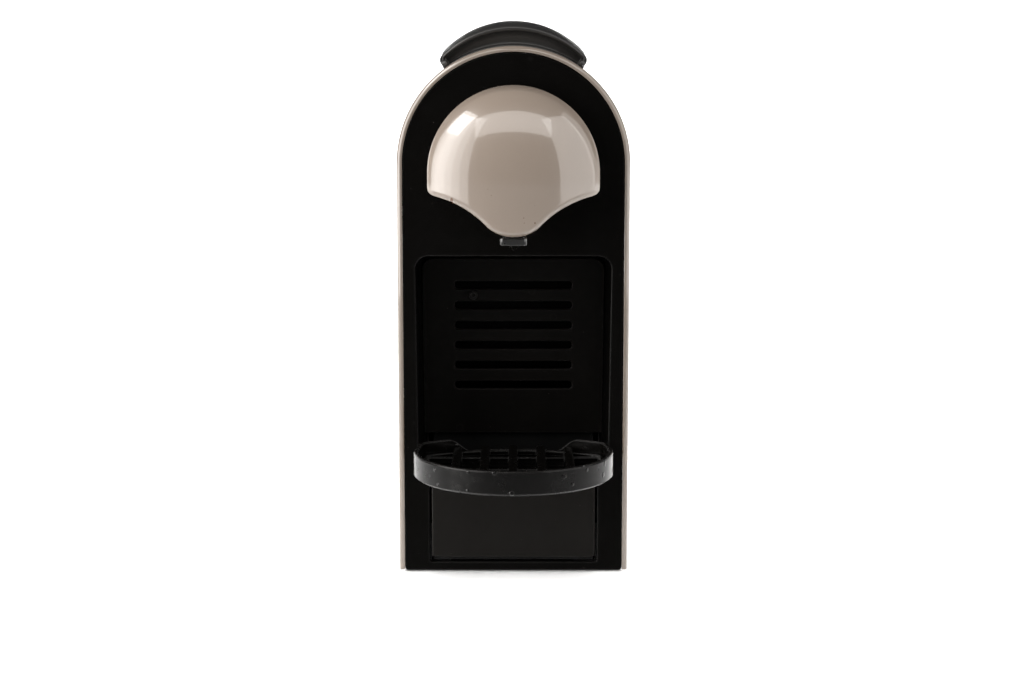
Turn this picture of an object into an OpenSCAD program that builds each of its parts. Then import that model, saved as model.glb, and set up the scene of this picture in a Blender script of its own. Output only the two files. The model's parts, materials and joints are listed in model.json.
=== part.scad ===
// Pod coffee machine: arched casing, sliding top, pull-out drawer, cup tray, rear water tank.
// X runs across the machine, -Y is the front, Z is up. The origin is under the middle of the machine.

/* [Body] */
// Width of the casing
body_w = 110; // [108:1:112]
// Height of the casing's arch above the table
body_h = 252; // [250:1:254]
// Depth of the casing, front face to rear face
body_depth = 206; // [204:1:208]
// Wall of the outer casing
shell_t = 2.7; // [2.4:0.1:2.8]
// How far the casing's rim stands in front of the front face
rim_out = 0.8; // [0.4:0.1:1.2]
// Height of the feet
foot_h = 1.2; // [1:0.1:1.3]
// Y of the front face
front_y = -114; // [-115:0.5:-113]

/* [Head] */
// Half width of the coffee head
head_half = 39.9; // [39:0.1:40.2]
// How far the head stands out of the front face
head_out = 27; // [25:1:28]
// Wall of the head cover
head_t = 2.2; // [2:0.1:2.4]
// Y of the coffee outlet, in front of the front face
outlet_out = 17; // [16:0.5:18]

/* [Cup bay] */
// Half width of the cup bay
bay_half = 46.2; // [46:0.1:46.4]
// Top of the cup bay
bay_top = 153.8; // [153:0.1:154]
// Floor of the cup bay
bay_floor = 50; // [49.8:0.1:50.2]
// Depth of the cup bay, front face to grille panel
bay_depth = 40; // [39:0.5:41]
// Radius of the bay's upper corners
bay_r = 6.3; // [5:0.1:7]
// Number of slots in the grille panel
slots = 6; // [4:1:6]

/* [Drawer] */
// Half width of the drawer's front panel
drawer_half = 39.4; // [39:0.1:39.8]
// Length of the drip base
drip_len = 95; // [90:1:96]
// Wall of the drip base and the capsule bin
bin_t = 1.8; // [1.6:0.1:2]

/* [Cup tray] */
// Radius of the tray's round front
tray_r = 45.8; // [45:0.1:46]
// How far the tray stands out of the front face
tray_out = 70.5; // [70:0.1:71]
// Top of the tray's rim
tray_top = 65.4; // [65:0.1:66]
// Height of the tray's rim
tray_h = 11.2; // [11:0.1:11.4]
// Number of ribs in the drip grid
ribs = 5; // [3:2:5]
// Distance between ribs
rib_pitch = 13.2; // [12:0.1:13.4]

/* [Slider] */
// Length of the slider
slider_len = 105; // [100:1:106]
// Radius of the slider's back
slider_r = 46.5; // [46:0.1:47]
// Height of the slider's crest
slider_top = 264; // [263.5:0.1:264.5]
// Half width of the slider
slider_half = 34.6; // [34:0.1:35]

/* [Brewing unit] */
// Height of the brewing axis
brew_z = 196; // [195.5:0.1:196.5]
// Travel of the capsule cage
cage_travel = 32; // [30:1:32]
// Outer radius of the capsule cage
cage_r = 22; // [21.5:0.1:22]
// Radius of the lead screw
screw_r = 4; // [3.9:0.05:4.05]
// Teeth of the screw gear
gear_teeth = 42; // [42:14:42]
// Teeth of the motor pinion
pinion_teeth = 14; // [14:14:14]
// Gear module
gear_m = 1; // [1:0.1:1]

/* [Water tank] */
// Half width of the tank
tank_half = 46; // [45:0.5:46]
// Wall of the tank
tank_t = 2.2; // [2:0.1:2.4]
// Top of the tank's wall
tank_top = 160; // [150:1:165]
// Space between casing and tank
tank_gap = 4; // [3.5:0.1:4.5]

/* [Hidden] */
$fn = 96;
eps = 1;                                  // overrun of a cutting shape
gap = 0.15;                               // gap between fitted pieces of one body
half_w = body_w / 2;
inner_half = half_w - shell_t;
arch_z = body_h - half_w;
back_y = front_y + body_depth;
fascia_t = 3;
fascia_back = front_y + fascia_t;
plate_t = 2.8;
plate_top = foot_h + plate_t;
panel_y = front_y + bay_depth;
panel_t = 2.5;
bay_back = panel_y + panel_t;
head_z = 194.1;                           // centre of the head's round top
head_bottom = 165.1;
head_shoulder = 185.6;                      // where the head's straight sides end
cove_x = 46.25;                           // centre and radius of the coves beside the nose
cove_z = 137.26;
cove_r = 47;
dome_r = 82;                              // ball that rounds the head's front
duct_z = 178;
outlet_y = front_y - outlet_out;
slot_half = 19.5;                         // capsule slot in the casing's top
slot_y0 = front_y + 19;
slot_y1 = slot_y0 + 34;
slider_y0 = front_y + 16;
slider_y1 = slider_y0 + slider_len;
slider_cz = slider_top - slider_r;
slider_wall = 2.4;
slider_clear = 0.35;
rail_y0 = slider_y0 + 48;
rail_y1 = slider_y1 - 2;
carriage_y0 = slider_y0 + 9.5;
carriage_y1 = slider_y1 - 3;
drawer_top = 53.9;
drawer_bottom = 7.8;
drip_z0 = 5.9;
drip_z1 = bay_floor - 0.4;
drip_half = drawer_half - 0.6;
drip_y0 = front_y + 2.8;
drip_y1 = drip_y0 + drip_len;
bin_z1 = 140;
tray_bottom = tray_top - tray_h;
tray_cy = front_y - tray_out + tray_r;
tray_back_r = 78.8;                       // arc of the tray's back edge
tray_back_cy = front_y + 9 - tray_back_r;
tray_floor = 1.8;
tray_wall = 2.2;
plate_y = 18;                             // front of the brewing unit's rear plate
plate_y1 = plate_y + 6;
face_y = front_y + 11;                    // rear of the brewing unit's front plate
cage_y0 = face_y + 3.2;
cage_y1 = -58;
nut_y0 = -24.5;
nut_y1 = -16.5;
gear_y0 = 28;
gear_y1 = 34;
gear_distance = gear_m * (gear_teeth + pinion_teeth) / 2;
motor_z = brew_z + gear_distance;
rod_x = 28;
rod_r = 2.5;
run = 0.06;                               // running clearance on the radius
tank_y0 = back_y + tank_gap;
tank_cy = 184.5 - tank_half;
tank_z0 = 12.1;
socket_y = 130;
hinge_y = tank_y0 + 5;
hinge_z = tank_top + 3.7;
pin_r = 1.5;
gland_x = -30;
gland_z = 6.6;
gland_bore = 3.6;
hose_r = 3;
hose_z = 8.2;
pump_x = -22;
pump_z = 30;
pump_r = 18;
meter_x = 24;
meter_y = 40;
screw_spots = [[-47, 20], [47, 20], [-47, 190], [47, 190]];
front_feet = [[-42, front_y + 16], [42, front_y + 16]];
middle_feet = [[-42, 80], [42, 80]];
rear_feet = [[-18, 168], [18, 168]];
cream = [0.86, 0.82, 0.76];
black = [0.07, 0.07, 0.07];
grey = [0.2, 0.2, 0.21];
steel = [0.7, 0.7, 0.72];
brass = [0.78, 0.62, 0.3];
rubber = [0.1, 0.1, 0.1];
natural = [0.75, 0.74, 0.7];

// An XZ outline, pushed from y0 to y1
module along_y(y0, y1)
    translate([0, y1, 0]) rotate([90, 0, 0]) linear_extrude(y1 - y0) children();

// A YZ outline, pushed from x0 to x1
module along_x(x0, x1)
    translate([x0, 0, 0]) rotate([90, 0, 90]) linear_extrude(x1 - x0) children();

// An XY outline, pushed from z0 to z1
module along_z(z0, z1)
    translate([0, 0, z0]) linear_extrude(z1 - z0) children();

// A rod along Y, through x and z
module rod_y(r, y0, y1, x, z)
    translate([x, y1, z]) rotate([90, 0, 0]) cylinder(r = r, h = y1 - y0);

// A rod along X, through y and z
module rod_x_axis(r, x0, x1, y, z)
    translate([x0, y, z]) rotate([0, 90, 0]) cylinder(r = r, h = x1 - x0);

// A box between two corners
module block(a, b)
    translate(a) cube(b - a);

// Round-topped doorway outline
module arch(half, z0) {
    translate([-half, z0]) square([2 * half, arch_z - z0]);
    translate([0, arch_z]) circle(r = half);
}

// Cup bay outline, made larger all round by grow
module bay_outline(grow = 0) {
    half = bay_half + grow;
    r = bay_r + grow;
    top = bay_top + grow;
    bottom = bay_floor - grow;
    translate([-half, bottom]) square([2 * half, top - r - bottom]);
    translate([r - half, bottom]) square([2 * (half - r), top - bottom]);
    for (s = [-1, 1]) translate([s * (half - r), top - r]) circle(r = r);
}

// Coffee head outline, made smaller all round by inset
module head_outline(inset = 0) {
    half = head_half - inset;
    intersection() {
        translate([0, head_z]) circle(r = half);
        translate([-half, head_z]) square([2 * half, half]);
    }
    translate([-half, head_shoulder]) square([2 * half, head_z - head_shoulder]);
    difference() {
        translate([1 - half, head_bottom + inset])
            square([2 * half - 2, head_shoulder - head_bottom]);
        for (s = [-1, 1]) translate([s * cove_x, cove_z]) circle(r = cove_r + inset);
    }
}

// Cup tray outline: round front, straight sides, shallow arc at the back
module tray_outline(inset = 0) {
    intersection() {
        translate([0, tray_back_cy]) circle(r = tray_back_r - inset);
        union() {
            translate([0, tray_cy]) circle(r = tray_r - inset);
            translate([inset + 0.4 - tray_r, tray_cy]) square([2 * (tray_r - inset - 0.4), 40]);
        }
    }
}

// Tank outline: flat front, half-round back
module tank_outline(inset = 0, y0 = tank_y0) {
    half = tank_half - inset;
    intersection() {
        union() {
            translate([-half, y0 + inset]) square([2 * half, tank_cy - y0 - inset]);
            translate([0, tank_cy]) circle(r = half);
        }
        translate([-60, y0 + inset]) square([120, 120]);
    }
}

// Slider cross-section: a cap that follows the arch below it
module slider_outline(r) {
    intersection() {
        difference() {
            translate([0, slider_cz]) circle(r = r);
            translate([0, arch_z]) circle(r = half_w + slider_clear);
        }
        polygon([[-slider_half, 247.6], [3.2 - slider_half, 241], [slider_half - 3.2, 241],
            [slider_half, 247.6], [slider_half, 270], [-slider_half, 270]]);
    }
}

// Involute spur gear outline
pressure = 25;
addendum = 0.8;
dedendum = 1.1;
backlash = 0.25;
function inv(a) = tan(a) - a * PI / 180;
function tooth_half(n, r) = let (rp = n * gear_m / 2, rb = rp * cos(pressure))
    90 / n - backlash / 4 / rp * 180 / PI
    + (inv(pressure) - inv(acos(min(1, rb / r)))) * 180 / PI;
function tooth_radii(n) = let (rp = n * gear_m / 2, rb = rp * cos(pressure),
    r0 = max(rb, rp - dedendum * gear_m), r1 = rp + addendum * gear_m)
    [for (i = [0 : 4]) r0 + (r1 - r0) * i / 4];
function flank(n, r, a) = [r * cos(a), r * sin(a)];
module gear_outline(n) {
    root = n * gear_m / 2 - dedendum * gear_m;
    radii = tooth_radii(n);
    polygon([for (k = [0 : n - 1]) let (mid = 360 * k / n) each concat(
        [flank(n, root, mid - tooth_half(n, radii[0]) - 0.1)],
        [for (r = radii) flank(n, r, mid - tooth_half(n, r))],
        [for (i = [4 : -1 : 0]) flank(n, radii[i], mid + tooth_half(n, radii[i]))],
        [flank(n, root, mid + tooth_half(n, radii[0]) + 0.1)])]);
}

// ---- Casing ----

module body_shell() color(cream)
    difference() {
        union() {
            difference() {
                along_y(front_y - rim_out, back_y) arch(half_w, foot_h);
                along_y(front_y - rim_out - eps, back_y + eps) arch(inner_half, foot_h - eps);
            }
            for (p = screw_spots) let (s = sign(p[0]))
                block([min(s * 43, s * (inner_half + 0.5)), back_y - 16, p[1] - 4],
                    [max(s * 43, s * (inner_half + 0.5)), back_y - fascia_t - gap, p[1] + 4]);
        }
        block([-slot_half, slot_y0, 225], [slot_half, slot_y1, 260]);
        for (p = screw_spots) rod_y(1.55, back_y - 17, back_y, p[0], p[1]);
    }

module front_fascia() color(black)
    difference() {
        along_y(front_y, fascia_back) arch(inner_half - gap, foot_h);
        along_y(front_y - eps, fascia_back + eps) bay_outline();
        block([-drawer_half - 1, front_y - eps, 5.4], [drawer_half + 1, fascia_back + eps, 52]);
        rod_y(6, front_y - eps, fascia_back + eps, 0, duct_z);
    }

module bay_liner() color(black) {
    difference() {
        along_y(fascia_back, bay_back) bay_outline(1.8);
        along_y(fascia_back - eps, bay_back + eps) bay_outline();
        block([-60, fascia_back - eps, 0], [60, bay_back + eps, bay_floor]);
    }
    for (s = [-1, 1]) along_y(fascia_back, bay_back)
        translate([s * (drawer_half + bay_half + 2.8) / 2 - 3.4, bay_floor - 1.8])
            square([6.8, 1.8]);
}

module head_solid(inset) {
    intersection() {
        along_y(front_y - head_out, front_y + inset) head_outline(inset);
        translate([0, front_y - head_out + dome_r, head_z - 6]) sphere(r = dome_r - inset);
    }
}

module head_cover() color(cream)
    difference() {
        head_solid(0);
        head_solid(head_t);
        translate([0, outlet_y, head_bottom - 2]) cylinder(r = 4.3, h = 12);
    }

module outlet_duct() color(natural) {
    difference() {
        union() {
            rod_y(5, outlet_y - 5, front_y + 5.8, 0, duct_z);
            translate([0, outlet_y, head_bottom + 0.1]) cylinder(r = 4, h = duct_z - head_bottom);
        }
        rod_y(2.5, outlet_y - 3, front_y + 7, 0, duct_z);
        translate([0, outlet_y, head_bottom - 1]) cylinder(r = 2, h = duct_z - head_bottom + 1);
    }
}

module coffee_outlet() color(black)
    difference() {
        union() {
            translate([0, outlet_y, 161]) cylinder(r = 6.4, h = head_bottom - 161);
            translate([0, outlet_y, 158]) cylinder(r1 = 2, r2 = 6.4, h = 3);
        }
        translate([0, outlet_y, 156]) cylinder(r = 1, h = 10);
        translate([0, outlet_y, 162.5]) cylinder(r = 3, h = 4);
    }

module foot_sockets(spots) {
    for (p = spots) translate([p[0], p[1], foot_h - eps]) cylinder(r = 4.1, h = eps + 2);
}

module base_plate() color(black)
    difference() {
        block([gap - inner_half, fascia_back + gap, foot_h],
            [inner_half - gap, back_y - fascia_t - gap, plate_top]);
        foot_sockets(concat(front_feet, middle_feet));
    }

module feet() color(rubber)
    for (p = concat(front_feet, middle_feet, rear_feet)) translate([p[0], p[1], 0]) {
        cylinder(r = 7, h = foot_h);
        cylinder(r = 4, h = foot_h + 1.8);
    }

module rear_cover() color(black)
    difference() {
        along_y(back_y - fascia_t, back_y) arch(inner_half - gap, foot_h);
        rod_y(hose_r + 0.4, back_y - 5, back_y + eps, 0, hose_z);
        rod_y(4, back_y - 5, back_y + eps, gland_x, gland_z);
        for (p = screw_spots) rod_y(1.6, back_y - 5, back_y + eps, p[0], p[1]);
        for (k = [0 : 5]) block([-22, back_y - 5, 196 + 6 * k], [22, back_y + eps, 199 + 6 * k]);
    }

module cover_screws() color(steel)
    for (p = screw_spots) {
        rod_y(1.5, back_y - 13, back_y + 0.2, p[0], p[1]);
        difference() {
            rod_y(3, back_y + 0.05, back_y + 1.6, p[0], p[1]);
            block([p[0] - 1.8, back_y + 1, p[1] - 0.4], [p[0] + 1.8, back_y + 2, p[1] + 0.4]);
        }
    }

// ---- Water supply ----

module tank_base() color(black)
    difference() {
        along_z(foot_h, 12) tank_outline(0, back_y + 0.2);
        translate([0, socket_y, 5]) cylinder(r = 14.1, h = 10);
        rod_y(hose_r + 0.3, back_y - eps, socket_y, 0, hose_z);
        rod_y(4, back_y - eps, 165, gland_x, gland_z);
        rod_y(5.05, 160, 190, gland_x, gland_z);
        foot_sockets(rear_feet);
    }

module cord_gland() color(rubber)
    difference() {
        rod_y(5, 160.1, 178, gland_x, gland_z);
        rod_y(gland_bore, 159, 179, gland_x, gland_z);
    }

module tank_socket() color(natural)
    difference() {
        translate([0, socket_y, 5]) cylinder(r = 14, h = 7);
        translate([0, socket_y, 6.5]) cylinder(r = 8.6, h = 7);
        translate([0, socket_y, 9]) cylinder(r = 10.1, h = 4);
        rod_y(1.5, socket_y - 20, socket_y, 0, hose_z);
    }

module socket_seal() color(rubber)
    translate([0, socket_y, 9.1])
        difference() {
            cylinder(r = 10, h = 2.5);
            translate([0, 0, -eps]) cylinder(r = 8.4, h = 5);
        }

module pump() color(steel) {
    difference() {
        rod_y(pump_r, 8, 75, pump_x, pump_z);
        for (y = [26, 34, 42, 50]) difference() {
            rod_y(pump_r + eps, y, y + 3, pump_x, pump_z);
            rod_y(pump_r - 1, y - eps, y + 4, pump_x, pump_z);
        }
    }
    rod_y(6, 5, 8, pump_x, pump_z);
    rod_y(8, 75, 80, pump_x, pump_z);
}

module pump_mounts() color(rubber)
    for (y = [12, 60]) difference() {
        block([pump_x - 20, y, plate_top], [pump_x + 18, y + 7, pump_z]);
        rod_y(pump_r + 0.05, y - eps, y + 8, pump_x, pump_z);
    }

module flow_meter() color(natural) {
    translate([meter_x, meter_y, plate_top + 0.1]) cylinder(r = 14, h = 18);
    translate([meter_x, meter_y, plate_top + 18]) cylinder(r = 5, h = 2);
}

// A hose: straight runs between points, with round elbows
module hose_run(points) {
    for (i = [0 : len(points) - 2]) let (a = points[i], b = points[i + 1], d = b - a)
        translate([min(a[0], b[0]), min(a[1], b[1]), min(a[2], b[2])])
            rotate([d[1] != 0 ? -90 : 0, d[0] != 0 ? 90 : 0, 0])
                cylinder(r = hose_r, h = norm(d));
    for (i = [1 : len(points) - 2]) translate(points[i]) sphere(r = hose_r);
}

module water_hoses() color(rubber) {
    hose_run([[0, socket_y - 14.2, hose_z], [0, meter_y, hose_z], [9.9, meter_y, hose_z]]);
    hose_run([[meter_x, meter_y, 24.2], [meter_x, meter_y, 56], [pump_x, meter_y, 56],
        [pump_x, meter_y, 48.2]]);
    hose_run([[pump_x, 4.9, pump_z], [pump_x, -3, pump_z], [pump_x, -3, 140], [25, -3, 140],
        [25, 48, 140], [25, 48, 130.1]]);
    hose_run([[18, 60, 130.1], [18, 60, 177.4], [18, plate_y1 + 0.1, 177.4]]);
}

module heater_block() color([0.78, 0.78, 0.8])
    difference() {
        block([4, 26, 70], [46, 70, 130]);
        for (z = [78, 88, 98, 108, 118]) block([3, 25, z], [7, 71, z + 4]);
        for (x = [12, 38]) for (z = [76, 124]) rod_y(1.55, 60, 71, x, z);
    }

module heater_bracket() color(steel)
    difference() {
        union() {
            block([6, 70.1, plate_top + 0.1], [44, 72, 132]);
            block([6, 70.1, plate_top + 0.1], [44, 84, plate_top + 2]);
        }
        for (x = [12, 38]) for (z = [76, 124]) rod_y(1.6, 69, 73, x, z);
    }

module heater_screws() color(steel)
    for (x = [12, 38]) for (z = [76, 124]) {
        rod_y(1.5, 62, 72.2, x, z);
        rod_y(3, 72.05, 74, x, z);
    }

// ---- Electronics ----

module control_board() color([0.1, 0.35, 0.2])
    difference() {
        block([-48, -6, 62], [-46.4, 78, 172]);
        for (y = [0, 72]) for (z = [68, 166]) rod_x_axis(1.6, -50, -45, y, z);
    }

module board_posts() color(natural)
    for (y = [0, 72]) for (z = [68, 166]) {
        rod_x_axis(3, gap - inner_half, -48.05, y, z);
        rod_x_axis(1.5, -48.2, -45.5, y, z);
        rod_x_axis(2.5, -46.35, -45, y, z);
    }

module board_parts() color([0.15, 0.15, 0.16]) {
    block([-46.35, 10, 76], [-34, 34, 96]);
    block([-46.35, 44, 76], [-36, 58, 90]);
    block([-46.35, 12, 112], [-40, 30, 124]);
    block([-46.35, 40, 110], [-43, 54, 124]);
    block([-46.35, 10, 140], [-37, 60, 148]);
    for (y = [64, 52]) rod_x_axis(5, -46.35, -32, y, 100);
    rod_x_axis(4, -46.35, -36, 68, 130);
}

// ---- Capsule path ----

module slider_rails() color(black)
    for (s = [-1, 1]) difference() {
        union() {
            along_y(rail_y0, rail_y1) translate([s * 27 - 1, 240]) square([2, 11.2]);
            along_y(rail_y0, rail_y1) translate([s * 25.25 - 2.75, 249.6]) square([5.5, 1.6]);
        }
        along_y(rail_y0 - eps, rail_y1 + eps) translate([0, arch_z]) circle(r = half_w + 0.05);
    }

module insert_chute() color(black)
    difference() {
        block([-slot_half - 1.6, slot_y0 - 1.6, brew_z + cage_r + 1.5],
            [slot_half + 1.6, slot_y1 + 1.6, 243.8]);
        block([-slot_half, slot_y0, 200], [slot_half, slot_y1, 250]);
    }

module waste_chute() color(black)
    difference() {
        along_x(-21.6, 21.6) polygon([[-98, 171.5], [-71.4, 157.4], [-70.8, 143], [-34, 143],
            [-34, 173.5], [-98, 173.5]]);
        along_x(-20, 20) polygon([[-96.2, 180], [-96.2, 172.8], [-69.8, 158.6], [-69.2, 142],
            [-36, 142], [-36, 180]]);
    }

// ---- Brewing unit ----

module brew_frame() color(grey)
    difference() {
        union() {
            block([-34, face_y - 5, 174.2], [34, face_y, brew_z + 24]);
            block([-29, plate_y, 174.2], [29, plate_y1, 238]);
            for (s = [-1, 1]) block([s * 32 - 2, face_y - eps, 175], [s * 32 + 2, plate_y + 1, 183]);
            for (s = [-1, 1]) block([s * 29.5 - 4.5, plate_y, 175], [s * 29.5 + 4.5, plate_y1, 183]);
        }
        rod_y(10, face_y - 6, face_y + eps, 0, brew_z);
        rod_y(7.05, plate_y - eps, plate_y1 + eps, 0, brew_z);
        rod_y(4, plate_y - eps, plate_y1 + eps, 0, motor_z);
        rod_y(5.2, face_y - 6, face_y + eps, 0, duct_z);
        for (s = [-1, 1]) rod_y(rod_r + 0.02, face_y - 3, plate_y1 + eps, s * rod_x, brew_z);
        for (s = [-1, 1]) rod_y(1.6, plate_y - eps, plate_y1 + eps, s * 8.5, motor_z);
    }

module guide_rods() color(steel)
    for (s = [-1, 1]) rod_y(rod_r, face_y - 2.9, plate_y1, s * rod_x, brew_z);

module piercing_plate() color(steel)
    difference() {
        union() {
            rod_y(18, face_y + 0.1, face_y + 2.4, 0, brew_z);
            rod_y(9.9, face_y - 4.5, face_y + 0.2, 0, brew_z);
            for (i = [0 : 5]) rod_y(1.2, face_y + 2.3, face_y + 4.4,
                11 * cos(60 * i), brew_z + 11 * sin(60 * i));
        }
        rod_y(2, face_y - 6, face_y + 3, 0, brew_z);
    }

module frame_screws() color(steel)
    for (s = [-1, 1]) {
        rod_y(1.5, plate_y - 0.05, plate_y1 + 0.2, s * 8.5, motor_z);
        rod_y(2.8, plate_y1 + 0.05, plate_y1 + 2, s * 8.5, motor_z);
    }

module screw_bush() color(brass)
    difference() {
        union() {
            rod_y(7, plate_y + 0.1, plate_y1 + 1.6, 0, brew_z);
            rod_y(9, plate_y1 + 0.1, plate_y1 + 1.6, 0, brew_z);
        }
        rod_y(screw_r + run, plate_y - eps, plate_y1 + 3, 0, brew_z);
    }

module lead_screw() color(steel) {
    rod_y(screw_r, -25, 38, 0, brew_z);
    rod_y(6, 16.2, 17.6, 0, brew_z);
}

module screw_gear() color(natural)
    difference() {
        union() {
            along_y(gear_y0, gear_y1) translate([0, brew_z]) gear_outline(gear_teeth);
            rod_y(7, gear_y0 - 1.5, gear_y1 + 2, 0, brew_z);
        }
        rod_y(screw_r + 0.02, gear_y0 - 3, gear_y1 + 4, 0, brew_z);
        for (i = [0 : 5]) rod_y(3, gear_y0 - 3, gear_y1 + 4,
            13 * cos(60 * i), brew_z + 13 * sin(60 * i));
    }

module brew_motor() color(steel)
    difference() {
        union() {
            rod_y(12, -20, plate_y - 0.1, 0, motor_z);
            rod_y(3.9, plate_y - 0.2, plate_y + 2, 0, motor_z);
            rod_y(5, -22, -20, 0, motor_z);
        }
        rod_y(pin_r + run, 2, plate_y1, 0, motor_z);
    }

module motor_shaft() color(steel)
    rod_y(pin_r, 3, gear_y1 + 1.5, 0, motor_z);

module motor_pinion() color(brass)
    difference() {
        along_y(gear_y0, gear_y1) translate([0, motor_z]) rotate(180 / pinion_teeth)
            gear_outline(pinion_teeth);
        rod_y(pin_r + 0.02, gear_y0 - eps, gear_y1 + eps, 0, motor_z);
    }

module capsule_cage() color(grey)
    difference() {
        union() {
            rod_y(cage_r, cage_y0, cage_y1, 0, brew_z);
            rod_y(8, cage_y1 - eps, nut_y0, 0, brew_z);
            block([-33, -82, brew_z - 6], [33, -62, brew_z + 6]);
        }
        rod_y(16.5, cage_y0 - eps, cage_y0 + 31, 0, brew_z);
        rod_y(5, cage_y1, nut_y0 + eps, 0, brew_z);
        for (s = [-1, 1]) rod_y(rod_r + run, -84, -60, s * rod_x, brew_z);
    }

module cage_nut() color(brass)
    difference() {
        rod_y(8, nut_y0, nut_y1, 0, brew_z);
        rod_y(screw_r + run, nut_y0 - eps, nut_y1 + eps, 0, brew_z);
    }

// ---- Slider ----

module slider_cover() color(grey)
    difference() {
        along_y(slider_y0, slider_y1) slider_outline(slider_r);
        along_y(slider_y0 + 5, slider_y1 - 2.5) intersection() {
            translate([0, slider_cz]) circle(r = slider_r - slider_wall);
            translate([4.4 - slider_half, 235]) square([2 * slider_half - 8.8, 40]);
        }
        block([4.4 - slider_half, slider_y1 - 4, 235], [slider_half - 4.4, slider_y1 + eps, 252.2]);
        rod_x_axis(16, -60, 60, slider_y0 - 12.6, 255);
        touch_pocket(45.3, 20.05, 14.05);
    }

// Shallow pocket in the slider's back, from radius r up
module touch_pocket(r, half, half_y) {
    y = (slider_y0 + slider_y1) / 2 - 3;
    along_y(y - half_y, y + half_y) intersection() {
        difference() {
            translate([0, slider_cz]) circle(r = slider_r + 2);
            translate([0, slider_cz]) circle(r = r);
        }
        translate([-half, 240]) square([2 * half, 30]);
    }
}

module touch_spots(r, z) {
    y = (slider_y0 + slider_y1) / 2 - 3;
    for (a = [-15, 0, 15]) translate([0, y, slider_cz]) rotate([0, a, 0])
        translate([0, 0, z]) cylinder(r = r, h = 1.2);
}

module touch_panel() color(black)
    difference() {
        intersection() {
            touch_pocket(45.35, 20, 14);
            along_y(slider_y0, slider_y1) slider_outline(slider_r - 0.05);
        }
        touch_spots(4.55, 45.6);
    }

module touch_buttons() color([0.8, 0.8, 0.8])
    touch_spots(4.5, 45.65);

module slider_carriage() color(black) {
    block([-22.2, carriage_y0, 253], [22.2, carriage_y1, 254.8]);
    for (s = [-1, 1]) {
        along_y(carriage_y0, carriage_y1) translate([s * 21.3 - 0.9, 248.7]) square([1.8, 4.8]);
        along_y(carriage_y0, carriage_y1) translate([s * 23.6 - 1.9, 248.7]) square([3.8, 0.6]);
        block([s * 10 - 1, carriage_y0, 254.8], [s * 10 + 1, carriage_y1, 260.2]);
    }
}

// ---- Drawer ----

module drawer_guides() color(black)
    for (s = [-1, 1]) {
        block([s * 36.5 - 6, fascia_back + 0.5, plate_top + 0.05], [s * 36.5 + 6, -12, 5.6]);
        block([s * 40.6 - 1.1, fascia_back + 0.5, plate_top + 0.05], [s * 40.6 + 1.1, -12, 24]);
    }

module drawer_front() color(black) {
    block([-drawer_half, front_y, drawer_bottom], [drawer_half, drip_y0, drawer_top]);
    difference() {
        block([-11, drip_y0 - eps, drawer_top - 3], [11, drip_y0 + 8.4, drawer_top]);
        for (s = [-1, 1]) translate([s * 6, front_y + 5.6, drawer_top - 1.6])
            cylinder(r = 2.55, h = 3);
    }
}

module dock_magnets() color(steel)
    for (s = [-1, 1]) translate([s * 6, front_y + 5.6, drawer_top - 1.55])
        cylinder(r = 2.5, h = 1.5);

module drip_base() color(black) {
    difference() {
        block([-drip_half, drip_y0, drip_z0], [drip_half, drip_y1, drip_z1]);
        block([bin_t - drip_half, drip_y0 + bin_t, drip_z0 + bin_t],
            [drip_half - bin_t, drip_y1 - bin_t, drip_z1 + eps]);
    }
    for (s = [-1, 1])
        block([s * (drip_half - 3) - 3, drip_y0 + 1.4, drip_z1 - 1],
            [s * (drip_half - 3) + 3, drip_y0 + 10, 62.5]);
}

module capsule_bin() color(black)
    difference() {
        block([-40, bay_back, bay_floor], [40, drip_y1, bin_z1]);
        block([bin_t - 40, bay_back + bin_t, bay_floor + bin_t],
            [40 - bin_t, drip_y1 - bin_t, bin_z1 + eps]);
        for (x = [-24 : 12 : 24]) block([x - 1.5, bay_back + 8, bay_floor - eps],
            [x + 1.5, drip_y1 - 8, bay_floor + 3]);
        block([-31, bay_back - eps, 82], [31, bay_back + 4, bin_z1 - 2]);
    }

// A slot with round ends
module slot_outline(half, r)
    union() {
        translate([r - half, -r]) square([2 * (half - r), 2 * r]);
        for (s = [-1, 1]) translate([s * (half - r), 0]) circle(r = r);
    }

module grille_panel() color(black)
    difference() {
        along_y(panel_y, bay_back - 0.05) intersection() {
            translate([0, -3.6]) bay_outline(-1.2);
            translate([-60, 61]) square([120, 120]);
        }
        for (k = [0 : slots - 1]) along_y(panel_y - eps, bay_back + eps)
            translate([0, 135.3 - 10 * k]) slot_outline(29, 1.9);
        rod_y(1.3, panel_y - eps, bay_back + eps, -19.8, 130.35);
    }

module panel_stud() color(black) {
    rod_y(1.25, panel_y - 0.2, bay_back - 0.1, -19.8, 130.35);
    rod_y(2.15, panel_y - 1.2, panel_y - 0.05, -19.8, 130.35);
}

// ---- Cup tray ----

module cup_tray() color(black)
    difference() {
        along_z(tray_bottom, tray_top) tray_outline();
        along_z(tray_bottom + tray_floor, tray_top + eps) tray_outline(tray_wall);
        block([-41, front_y + 1.5, 59], [41, front_y + 20, tray_top + eps]);
        for (s = [-1, 1]) block([s * 18 - 4, front_y - 1, tray_bottom - eps],
            [s * 18 + 4, front_y + 2.5, tray_bottom + 3]);
        for (s = [-1, 1]) translate([s * 6, front_y + 5.6 - 1.2, tray_bottom - eps])
            cylinder(r = 2.55, h = eps + 1.3);
    }

module tray_magnets() color(steel)
    for (s = [-1, 1]) translate([s * 6, front_y + 4.4, tray_bottom + 0.02])
        cylinder(r = 2.5, h = 1.2);

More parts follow.
